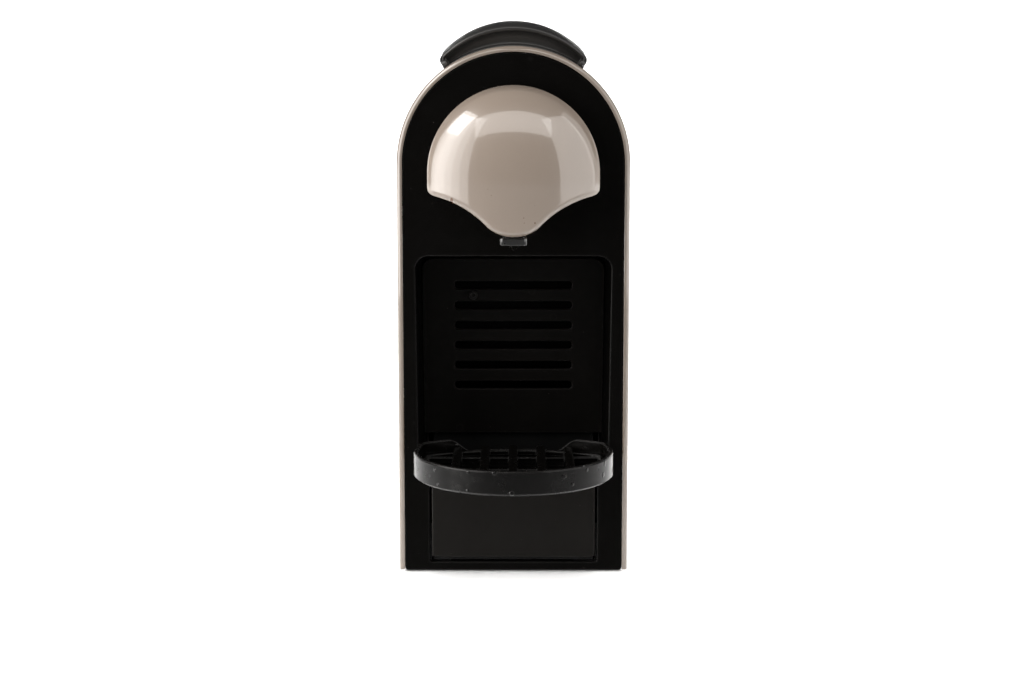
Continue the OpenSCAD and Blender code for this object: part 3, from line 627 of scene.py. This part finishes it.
def make_bay_liner():
    """Walls and ceiling of the cup bay, drafted towards the back, with the floor ledges."""
    depth = hi("bay_liner").y - FASCIA_BACK
    rows = []
    steps = 8
    wall = 1.5 * MM
    for out, sequence in ((0.0, range(steps + 1)), (wall, range(steps, -1, -1))):
        for k in sequence:
            t = k / steps
            draft = 0.9 * MM * t
            outline = bay_outline(BAY_HALF - draft + out, BAY_HALF_LOW - 0.25 * MM - draft + out,
                                  BAY_FLOOR - 1.8 * MM, BAY_TOP - 0.3 * MM * t + out, BAY_R + out, 12)
            path = outline[1:] + outline[:1]
            y = FASCIA_BACK - 0.4 * MM + (depth + 0.4 * MM) * t
            rows.append([(u, y, v) for u, v in path])
    liner = from_rows("bay_walls", rows, ring=False, closed_rows=True)
    smooth(liner, 40)
    half = DRAWER_HALF + 1.0 * MM
    ledges = []
    for side in (-1, 1):
        edge = sorted((side * half, side * (BAY_HALF_LOW + 1 * MM)))
        outline = [(edge[0], BAY_FLOOR - 1.8 * MM), (edge[1], BAY_FLOOR - 1.8 * MM),
                   (edge[1], BAY_FLOOR), (edge[0], BAY_FLOOR)]
        ledges.append(profile("ledge", [outline], "y", FASCIA_BACK - 0.4 * MM, hi("bay_liner").y,
                              0.3 * MM, 2))
    back = hi("grille_panel").y + 0.3 * MM
    outside = bay_outline(BAY_HALF, BAY_HALF_LOW, BAY_FLOOR, BAY_TOP, BAY_R)
    inside = bay_outline(43.2 * MM, 42.6 * MM, BAY_FLOOR + 1.5 * MM, 146.5 * MM, 4 * MM)
    lip = profile("lip", [outside, inside], "y", back, back + 1.1 * MM, 0.2 * MM, 1)
    whole = join("bay_liner_walls", [liner, lip] + ledges)
    smooth(whole, 40)
    piece(whole, "body", "black_plastic", BLACK, "bay_liner")


# ---- Coffee head ----

def head_outline():
    """Round top, straight sides, coves beside a small nose; counter-clockwise from the right side."""
    cove_x, cove_z, cove_r = 46.25 * MM, 137.26 * MM, 47.0 * MM
    points = arc(0, HEAD_CZ, HEAD_HALF, 0, 180, 96)
    corner = 3.4 * MM
    side_low = 186.9 * MM
    points += [(-HEAD_HALF, HEAD_CZ + (side_low - HEAD_CZ) * k / 4) for k in range(1, 4)]
    left = arc(corner - HEAD_HALF, side_low, corner, 180, 256, 9)
    start = math.degrees(math.acos((cove_x - 36.2 * MM) / cove_r))
    nose_half = 11.3 * MM
    end = math.degrees(math.acos((cove_x - nose_half) / cove_r))
    left += [(-cove_x + cove_r * math.cos(math.radians(a)), cove_z + cove_r * math.sin(math.radians(a)))
             for a in [start + (end - start) * k / 22 for k in range(23)]]
    for k in range(1, 13):
        x = nose_half * (1 - k / 12)
        left.append((-x, HEAD_LO.z + 2.8 * MM * (x / (10 * MM)) ** 2.2))
    right = [(-u, v) for u, v in reversed(left[:-1])]
    points += left + right
    points += [(HEAD_HALF, side_low + (HEAD_CZ - side_low) * k / 4) for k in range(1, 4)]
    return points


def resample(points, count, relax=2):
    """Evenly spaced points round a closed outline, lightly relaxed."""
    total = len(points)
    lengths = [0.0]
    for i in range(total):
        lengths.append(lengths[-1] + (Vector(points[(i + 1) % total]) - Vector(points[i])).length)
    out = []
    k = 0
    for i in range(count):
        target = lengths[-1] * i / count
        while lengths[k + 1] < target:
            k += 1
        span = max(lengths[k + 1] - lengths[k], 1e-12)
        t = (target - lengths[k]) / span
        a, b = points[k], points[(k + 1) % total]
        out.append((a[0] + (b[0] - a[0]) * t, a[1] + (b[1] - a[1]) * t))
    for _ in range(relax):
        out = [tuple((Vector(out[i - 1]) + Vector(out[i]) * 2 + Vector(out[(i + 1) % count])) / 4)
               for i in range(count)]
    return out


def head_front(x, z):
    """How far the head's front stands out: a drum below, a dome above."""
    reach_x, reach_z = 46.0 * MM, 46.4 * MM
    rise = max(z - HEAD_CZ + 6 * MM, 0.0)
    level = 1 - (x / reach_x) ** 2 - (rise / reach_z) ** 2
    return HEAD_OUT * math.sqrt(max(level, 0.012))


def make_head():
    outline = resample(head_outline(), 280, 1)
    fillet = 2.6 * MM
    rows = [[(u, FASCIA_Y + 0.5 * MM, v) for u, v in outline]]
    steps = 8
    for k in range(5):
        rows.append([(u, FASCIA_Y - max(head_front(u * 0.94, v) - fillet, 0.0) * k / 4, v)
                     for u, v in outline])
    for k in range(1, steps + 1):
        a = math.pi / 2 * k / steps
        loop = inset_loop(outline, fillet * (1 - math.cos(a)))
        row = []
        for (u, v), (u0, v0) in zip(loop, outline):
            edge = max(head_front(u0 * 0.94, v0) - fillet, 0.0)
            top = head_front(u, v)
            row.append((u, FASCIA_Y - edge - (top - edge) * math.sin(a), v))
        rows.append(row)
    last = inset_loop(outline, fillet)
    centre = (0.0, HEAD_CZ - 4 * MM)
    rings = 26
    for k in range(1, rings):
        s = 1 - k / rings
        rows.append([(centre[0] + (u - centre[0]) * s,
                      FASCIA_Y - head_front(centre[0] + (u - centre[0]) * s,
                                            centre[1] + (v - centre[1]) * s),
                      centre[1] + (v - centre[1]) * s) for u, v in last])
    head = from_rows("coffee_head", rows, caps=(-1,))
    smooth(head, 60, weighted=False)
    wall = head.modifiers.new("wall", "SOLIDIFY")
    wall.thickness = 1.8 * MM
    wall.offset = -1
    piece(head, "body", "cream_shell", CREAM_HEAD, "head_cover")


def make_outlet():
    """Coffee outlet: a wet, glassy collar with a wall round a dark mouth, and a small beak below."""
    low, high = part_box("coffee_outlet")
    cx, cy = (low.x + high.x) / 2, (low.y + high.y) / 2
    half_x, half_y = 6.5 * MM, 5.4 * MM
    frame_line = box_outline(cx - half_x, cy - half_y, cx + half_x, cy + half_y, 2.2 * MM, 8)
    outline = resample(frame_line, 120, 0)
    collar = ring_sweep("collar", outline, 1.5 * MM, low.z + 2.9 * MM, lambda u, v: low.z + 6.4 * MM,
                        0.4 * MM)
    parts = [smooth(collar, 30)]
    inner = inset_loop(outline, 1.2 * MM)
    parts.append(profile("mouth", [inner, arc(cx, cy, 1.4 * MM, 0, 345, 23)], "z",
                         low.z + 4.6 * MM, low.z + 5.8 * MM, 0.3 * MM, 2))
    for side in (-1, 1):
        fin = [(cx + side * 3.6 * MM, low.z + 3.3 * MM), (cx + side * 4.6 * MM, low.z + 3.3 * MM),
               (cx + side * 4.9 * MM, low.z + 5.2 * MM), (cx + side * 3.9 * MM, low.z + 5.2 * MM)]
        fin = fin if side > 0 else fin[::-1]
        parts.append(profile("fin", [fin], "y", cy - 4.6 * MM, cy - 3.0 * MM, 0.2 * MM, 2))
    rows = []
    beak = ((5.0, 4.4, 3.6), (3.2, 4.2, 3.4), (2.4, 3.0, 2.6), (1.2, 1.7, 1.6), (0.35, 0.8, 0.8),
            (0.05, 0.35, 0.35))
    for drop, wide, deep in beak:
        rows.append([(cx + wide * MM * math.cos(math.tau * i / 48),
                      cy + deep * MM * math.sin(math.tau * i / 48), low.z + drop * MM) for i in range(48)])
    parts.append(smooth(from_rows("beak", rows, caps=(0, -1)), 50))
    whole = join("outlet_nozzle", parts)
    smooth(whole, 40)
    piece(whole, "body", "outlet_plastic", OUTLET, "coffee_outlet")


# ---- Slider ----

def body_height(x):
    r = HALF_W + 0.35 * MM
    return ARCH_Z + math.sqrt(r * r - x * x)


def slider_section(s):
    """For s from -1 to 1 across the slider: its top point, and the foot below it on the casing."""
    edge = 0.84
    corner_x, foot_x = 34.0 * MM, 31.8 * MM
    side = 1 if s >= 0 else -1
    t = abs(s)
    if t <= edge:
        x = corner_x * math.sin(t / edge * math.pi / 2 * 0.62) / math.sin(math.pi / 2 * 0.62)
        top = (side * x, SLIDER_CZ + math.sqrt(SLIDER_R ** 2 - x * x))
        foot_at = x * foot_x / corner_x
        return top, (side * foot_at, body_height(foot_at))
    k = (t - edge) / (1 - edge)
    corner_z = SLIDER_CZ + math.sqrt(SLIDER_R ** 2 - corner_x ** 2)
    foot_z = body_height(foot_x)
    bulge = math.sin(math.pi * min(k * 1.35, 1.0)) * 0.95 * MM
    x = corner_x + (foot_x - corner_x) * k + bulge
    z = corner_z + (foot_z - corner_z) * k
    return (side * x, z), (side * foot_x, foot_z)


def slider_profile():
    """(y, share of the height) from the casing in front, over the finger face, the brow and the back."""
    y0, y1 = SLIDER_LO.y, SLIDER_HI.y
    face = [(1.2, 0.0), (3.4, 0.03), (4.2, 0.10), (4.1, 0.20), (3.9, 0.28), (3.5, 0.36),
            (2.9, 0.44), (2.1, 0.52), (1.2, 0.575)]
    points = [(y0 + back * MM, share) for back, share in face]
    for k in range(9):
        a = math.radians(-55 + 123 * k / 8)
        points.append((y0 + 1.3 * MM * (1 - math.cos(a)), 0.668 + 0.108 * math.sin(a)))
    brow = 15 * MM
    lip = 0.82 * MM
    for k in range(1, 13):
        t = k / 12
        points.append((y0 + lip + (brow - lip) * t, 0.768 + 0.232 * (1 - (1 - t) ** 2)))
    for k in range(1, 15):
        points.append((y0 + brow + (y1 - 3 * MM - y0 - brow) * k / 14, 1.0))
    for k in range(1, 7):
        a = math.pi / 2 * k / 6
        points.append((y1 - 3 * MM + 3 * MM * math.sin(a), 0.78 + 0.22 * math.cos(a)))
    points.append((y1, 0.5))
    points.append((y1, 0.2))
    return points


def make_slider():
    count = 120
    rows = []
    for y, share in slider_profile():
        row = []
        for i in range(count + 1):
            top, foot = slider_section(-1 + 2 * i / count)
            row.append((foot[0] + (top[0] - foot[0]) * share, y, foot[1] + (top[1] - foot[1]) * share))
        rows.append(row)
    cover = from_rows("slider_top", rows, ring=False)
    smooth(cover, 55, weighted=False)
    wall = cover.modifiers.new("wall", "SOLIDIFY")
    wall.thickness = 1.6 * MM
    wall.offset = -1
    # The skin's outside faces up at the crest.
    crest = max(cover.data.polygons, key=lambda polygon: polygon.center.z)
    if crest.normal.z < 0:
        cover.data.flip_normals()
    piece(cover, "slider", "grey_plastic", GREY, "slider_cover")


def on_slider(x, y, lift):
    r = SLIDER_R + lift
    angle = x / SLIDER_R
    return (r * math.sin(angle), y, SLIDER_CZ + r * math.cos(angle))


def make_touch_panel():
    """Gloss strip let into the slider's back, with three cup marks of growing size."""
    low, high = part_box("touch_panel")
    half_x = 20 * MM
    outline = box_outline(-half_x, low.y, half_x, high.y, 5 * MM, 8)
    mesh = profile_mesh("touch_strip", [outline], "z", -0.35 * MM, 0.14 * MM, 0.12 * MM, 2)
    bm = bmesh.new()
    bm.from_mesh(mesh)
    for k in range(-9, 10):
        bmesh.ops.bisect_plane(bm, geom=bm.verts[:] + bm.edges[:] + bm.faces[:],
                               plane_co=(k * 2 * MM, 0, 0), plane_no=(1, 0, 0))
    for vertex in bm.verts:
        vertex.co = on_slider(vertex.co.x, vertex.co.y, vertex.co.z)
    bm.to_mesh(mesh)
    bm.free()
    strip = smooth(link(bpy.data.objects.new("touch_strip", mesh)), 40)
    piece(strip, "slider", "gloss_black", GLOSS, "touch_panel")
    middle = (low.y + high.y) / 2
    marks = []
    for k, radius in ((-1, 1.7), (0, 2.4), (1, 3.1)):
        x0 = k * 12 * MM
        for inner, outer in ((radius - 0.35, radius), (0.0, radius * 0.42)):
            rings = [(inner, -0.1), (inner, 0.2), (outer, 0.2), (outer, -0.1)]
            rows = []
            for r, lift in rings:
                r = max(r, 0.02)
                rows.append([on_slider(x0 + r * MM * math.cos(math.tau * i / 40),
                                       middle + r * MM * math.sin(math.tau * i / 40), lift * MM)
                             for i in range(40)])
            marks.append(smooth(from_rows("mark", rows, closed_rows=True), 40))
    whole = join("touch_marks", marks)
    smooth(whole, 40)
    piece(whole, "slider", "button_lens", LENS, "touch_buttons")


# ---- Drawer ----

def make_grille():
    low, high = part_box("grille_panel")
    half_top = 45.25 * MM
    half_low = 44.5 * MM
    outline = bay_outline(half_top, half_low, low.z, 148.7 * MM, 6.0 * MM)
    loops = [outline]
    slot_half, slot_r, pitch = 29.0 * MM, 1.9 * MM, 10.0 * MM
    first = 135.3 * MM
    for k in range(6):
        z = first - pitch * k
        loops.append(box_outline(-slot_half, z - slot_r, slot_half, z + slot_r, 1.45 * MM))
    panel = profile("grille", loops, "y", low.y, high.y, 0.6 * MM, 3)
    piece(panel, "drawer", "black_plastic", BLACK_PAINTED_LIGHTER, "grille_panel")
    low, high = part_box("panel_stud")
    cx, cz = (low.x + high.x) / 2, (low.z + high.z) / 2
    shape = [(2.15, 1.1), (2.15, 0.5), (1.9, 0.12), (1.3, 0.0), (1.15, 0.25), (0.4, 0.3)]
    rows = [[(cx + r * MM * math.cos(math.tau * i / 40), low.y + d * MM,
              cz + r * MM * math.sin(math.tau * i / 40)) for i in range(40)] for r, d in shape]
    stud = smooth(from_rows("grille_stud", rows, caps=(-1, 0)), 40)
    piece(stud, "drawer", "black_plastic", BLACK_PAINTED_LIGHTER, "panel_stud")


def make_drawer_front():
    plate_y1 = lo("drip_base").y
    outline = box_outline(-DRAWER_HALF, DRAWER_LO.z, DRAWER_HALF, DRAWER_HI.z, 1.3 * MM)
    plate = profile("plate", [outline], "y", DRAWER_LO.y, plate_y1, 0.7 * MM, 3)
    dock = profile("dock", [box_outline(-11 * MM, DRAWER_HI.z - 3 * MM, 11 * MM, DRAWER_HI.z, 0.5 * MM)],
                   "y", plate_y1 - 0.5 * MM, DRAWER_HI.y, 0.4 * MM, 2)
    whole = join("drawer_plate", [plate, dock])
    smooth(whole)
    piece(whole, "drawer", "black_plastic", BLACK_PAINTED_LIGHTER, "drawer_front")


# ---- Cup tray and drip grid ----

TRAY_BACK_R = 78.8 * MM
TRAY_BACK_CY = FASCIA_Y + 9 * MM - TRAY_BACK_R


def tray_outline(inset=0.0, count=96):
    """Round front, straight sides that close in a little, rounded rear corners, shallow rear arc."""
    back_r = TRAY_BACK_R
    corner = 7.0 * MM
    past = 9                                  # degrees the round front goes past its widest point
    cx = 44.9 * MM - corner
    cy = TRAY_BACK_CY + math.sqrt((back_r - corner) ** 2 - cx ** 2)
    meet = math.degrees(math.atan2(cy - TRAY_BACK_CY, cx))
    points = arc(0, TRAY_CY, TRAY_R, 180 - past, 360 + past, count)
    points += arc(cx, cy, corner, 4, meet, 10)
    points += arc(0, TRAY_BACK_CY, back_r, meet, 180 - meet, 30)[1:-1]
    points += arc(-cx, cy, corner, 180 - meet, 176, 10)
    points = resample(points, 220)
    return inset_loop(points, inset) if inset else points


def ring_sweep(name, outline, wall, z0, top, chamfer):
    """An upright band along an outline, with chamfered edges; top(u, v) gives its height."""
    c = chamfer
    section = [(c, 0, 0), (0, c, 0), (0, -c, 1), (c * 0.3, -c * 0.3, 1), (c, 0, 1), (wall - c * 0.6, 0, 1),
               (wall, -c * 0.6, 1), (wall, c, 0), (wall - c, 0, 0)]
    loops = []
    for inward, rise, at_top in section:
        moved = inset_loop(outline, inward)
        loops.append([(u, v, (top(u, v) if at_top else z0) + rise) for u, v in moved])
    return from_rows(name, loops, closed_rows=True)


def tray_rim_height(u, v):
    """Full height in front, dipping where the tray meets the machine."""
    start, end = FASCIA_Y + 1.0 * MM, FASCIA_Y + 4.5 * MM
    t = min(max((v - start) / (end - start), 0.0), 1.0)
    t = t * t * (3 - 2 * t)
    return TRAY_HI.z - 6.0 * MM * t


def make_tray():
    outline = tray_outline()
    rim = ring_sweep("rim", outline, 2.1 * MM, TRAY_LO.z, tray_rim_height, 0.75 * MM)
    smooth(rim, 25)
    floor = profile("floor", [inset_loop(outline, 1.9 * MM)], "z", TRAY_LO.z + 0.1 * MM,
                    TRAY_LO.z + 1.8 * MM, 0.2 * MM, 1)
    whole = join("tray_bowl", [rim, floor])
    smooth(whole, 25)
    piece(whole, "tray", "black_satin", TRAY_BLACK, "cup_tray")


def make_grid():
    low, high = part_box("drip_grid")
    inner = tray_outline(3.0 * MM)
    parts = []
    ring = ring_sweep("ring", inner, 2.4 * MM, low.z + 0.9 * MM, lambda u, v: high.z - 2.4 * MM, 0.5 * MM)
    parts.append(smooth(ring, 30))
    pitch, width = 13.2 * MM, 4.2 * MM
    for k in range(-2, 3):
        x = k * pitch - 0.2 * MM
        front = TRAY_CY - math.sqrt((TRAY_R - 4.4 * MM) ** 2 - x * x)
        slant = 0.0
        back = TRAY_BACK_CY + math.sqrt((TRAY_BACK_R - 3.4 * MM) ** 2 - x * x)
        if abs(k) == 2:
            slant = 1.6 * MM * (1 if k > 0 else -1)
        corners = [(x - width / 2, front), (x + width / 2, front),
                   (x + width / 2, back - slant), (x - width / 2, back + slant)]
        outline = rounded(corners, [1.6 * MM, 1.6 * MM, 1.0 * MM, 1.0 * MM])
        parts.append(profile("rib", [outline], "z", low.z + 1.0 * MM, high.z, 1.0 * MM, 4))
    for back in (12 * MM, 38 * MM):
        y = FASCIA_Y - back
        reach = math.sqrt((TRAY_R - 5 * MM) ** 2 - max(TRAY_CY - y, 0) ** 2)
        outline = box_outline(-reach, y - 1.5 * MM, reach, y + 1.5 * MM, 0.6 * MM)
        parts.append(profile("bar", [outline], "z", low.z + 1.0 * MM, high.z - 2.3 * MM, 0.5 * MM, 2))
        for side in (-1, 1):
            foot = arc(side * pitch, y, 1.4 * MM, 0, 345, 23)
            parts.append(profile("leg", [foot], "z", low.z, low.z + 1.6 * MM, 0.2 * MM, 1))
    whole = join("drip_ribs", parts)
    smooth(whole, 30)
    piece(whole, "grid", "black_satin", TRAY_BLACK, "drip_grid")


# ---- Back ----

def make_rear_cover():
    low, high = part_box("rear_cover")
    loops = [arch_outline(high.x + 0.13 * MM, low.z, 1.2 * MM, 96)]
    for k in range(6):
        z = (197.5 + 6 * k) * MM
        loops.append(arc(20.5 * MM, z, 1.5 * MM, -90, 90, 8) + arc(-20.5 * MM, z, 1.5 * MM, 90, 270, 8))
    for x, z, r in ((0, 8.2, 3.4), (-30, 6.6, 4.0)):
        loops.append(arc(x * MM, z * MM, r * MM, 0, 345, 23))
    for x in (-47, 47):
        for z in (20, 190):
            loops.append(arc(x * MM, z * MM, 1.6 * MM, 0, 345, 23))
    cover = profile("back_cover", loops, "y", low.y, high.y, 0.6 * MM, 3)
    piece(cover, "body", "black_plastic", BLACK_PLAIN, "rear_cover")


make_shell()
make_fascia()
make_bay_liner()
make_head()
make_outlet()
make_slider()
make_touch_panel()
make_grille()
make_drawer_front()
make_tray()
make_grid()
make_rear_cover()


# ---- Stage: pale floor, soft lights, camera ----

def stage_material(name, colour, rough):
    s = Shader(name, Roughness=rough, Specular_IOR_Level=0.1)
    s.set("Base Color", s.mix(s.noise(2, 3), colour, tuple(c * 0.985 for c in colour)))
    return s.material


def make_floor():
    size, rise, bend = 6.0, 1.0, 0.5
    rows = []
    start = 2.2
    path = [(-size, 0.0), (-2.0, 0.0), (0.0, 0.0), (start, 0.0)]
    path += [(start + bend * math.sin(a), bend - bend * math.cos(a)) for a in
             [math.pi / 2 * k / 12 for k in range(1, 13)]]
    path.append((start + bend, rise))
    for y, z in path:
        rows.append([(-size, y, z), (0.0, y, z), (size, y, z)])
    floor = from_rows("floor", rows, ring=False)
    floor.data.shade_smooth()
    floor.data.materials.append(stage_material("pale_floor", (0.86, 0.855, 0.85), 0.7))


def area_light(name, place, aim, size, power, colour=(1, 1, 1), spread=180):
    light = bpy.data.lights.new(name, "AREA")
    light.shape = "RECTANGLE"
    light.size, light.size_y = size
    light.energy = power
    light.color = colour
    light.spread = math.radians(spread)
    obj = link(bpy.data.objects.new(name, light))
    obj.location = place
    direction = Vector(aim) - Vector(place)
    obj.rotation_euler = direction.to_track_quat("-Z", "Y").to_euler()
    return obj


def light_group(name, state, members=("floor",)):
    """A light-linking group that takes in the named pieces alone, or leaves them out."""
    group = bpy.data.collections.new(name)
    for k, member in enumerate(members):
        group.objects.link(bpy.data.objects[member])
        group.collection_objects[k].light_linking.link_state = state
    return group


def make_lights():
    """A light tent: a curved left wall of strips, a dimmer right wall, and a panel above the camera."""
    tall = 1.7
    warm = (1.0, 0.975, 0.945)
    front = (0, FASCIA_Y, tall / 2)
    tent = [
        area_light("right_wall", (0.95, -0.66, tall / 2), front, (0.98, tall), 10.5, warm),
        area_light("right_rear", (1.12, -0.10, tall / 2), front, (0.45, tall), 2.6, warm),
        area_light("front_top", (0.0, -1.15, 1.5), (0, FASCIA_Y, 0.2), (1.9, 0.75), 11.0, warm),
        area_light("upper_left", (-1.06, -0.40, 1.35), (0, FASCIA_Y, 0.2), (0.7, 0.6), 7.3, warm),
    ]
    distance, width = 1.12, 0.168
    for k, level in enumerate((2.2, 3.4, 4.7, 5.8, 6.0, 4.4, 2.8)):
        turn = math.radians(39 + 8.6 * k)
        place = (-distance * math.sin(turn), FASCIA_Y - distance * math.cos(turn), tall / 2)
        power = level * math.pi * width * tall
        tent.append(area_light(f"left_strip_{k + 1}", place, front, (width, tall), power, warm))
    product_only = light_group("product_only", "EXCLUDE")
    for light in tent:
        light.light_linking.receiver_collection = product_only
    low_card = area_light("low_card", (-0.46, -0.30, 0.11), (0, FASCIA_Y, 0.03), (0.4, 0.2), 2.4, warm)
    low_card.light_linking.receiver_collection = light_group("low_pieces", "INCLUDE",
                                                             ("front_panel", "drawer_plate", "tray_bowl"))
    floor_only = light_group("floor_only", "INCLUDE")
    for name, power in (("floor_light", 18), ("floor_fill", 142)):
        floor_light = area_light(name, (0.0, 1.5, 0.9), (0, 1.5, 0), (7.0, 3.6), power,
                                 (1.0, 0.995, 0.985), 50)
        floor_light.light_linking.receiver_collection = floor_only
    # Only the lowest parts stop the fill, so the shadow stays tight under the machine.
    low_parts = ("floor",) + tuple(NODES[name].name for name in ("base_plate", "tank_base", "drip_base"))
    floor_light.light_linking.blocker_collection = light_group("contact_parts", "INCLUDE", low_parts)
    # An even light keeps the floor pale on every side; a second one lights the backdrop.
    base = area_light("floor_base", (0, 0, 3.5), (0, 0, 0), (14.0, 14.0), 260)
    base.light_linking.receiver_collection = floor_only
    base.light_linking.blocker_collection = floor_only
    wash = area_light("backdrop_wash", (0.0, 1.3, 0.9), (0, 2.7, 0.35), (5.0, 0.5), 60)
    wash.light_linking.receiver_collection = floor_only
    world = bpy.data.worlds.new("studio")
    bpy.context.scene.world = world
    world.use_nodes = True
    world.node_tree.nodes["Background"].inputs["Color"].default_value = (0.9, 0.93, 1.0, 1)
    world.node_tree.nodes["Background"].inputs["Strength"].default_value = 0.05


def make_camera():
    camera = bpy.data.cameras.new("camera")
    camera.lens = 66.9
    camera.sensor_width = 36.0
    obj = link(bpy.data.objects.new("camera", camera))
    obj.location = (-0.68 * MM, FASCIA_Y - 0.894, 0.2479)
    obj.rotation_euler = (math.radians(90 - 8.573), 0, 0)
    bpy.context.scene.camera = obj


make_floor()
make_lights()
make_camera()
bpy.context.scene.view_settings.view_transform = "Standard"
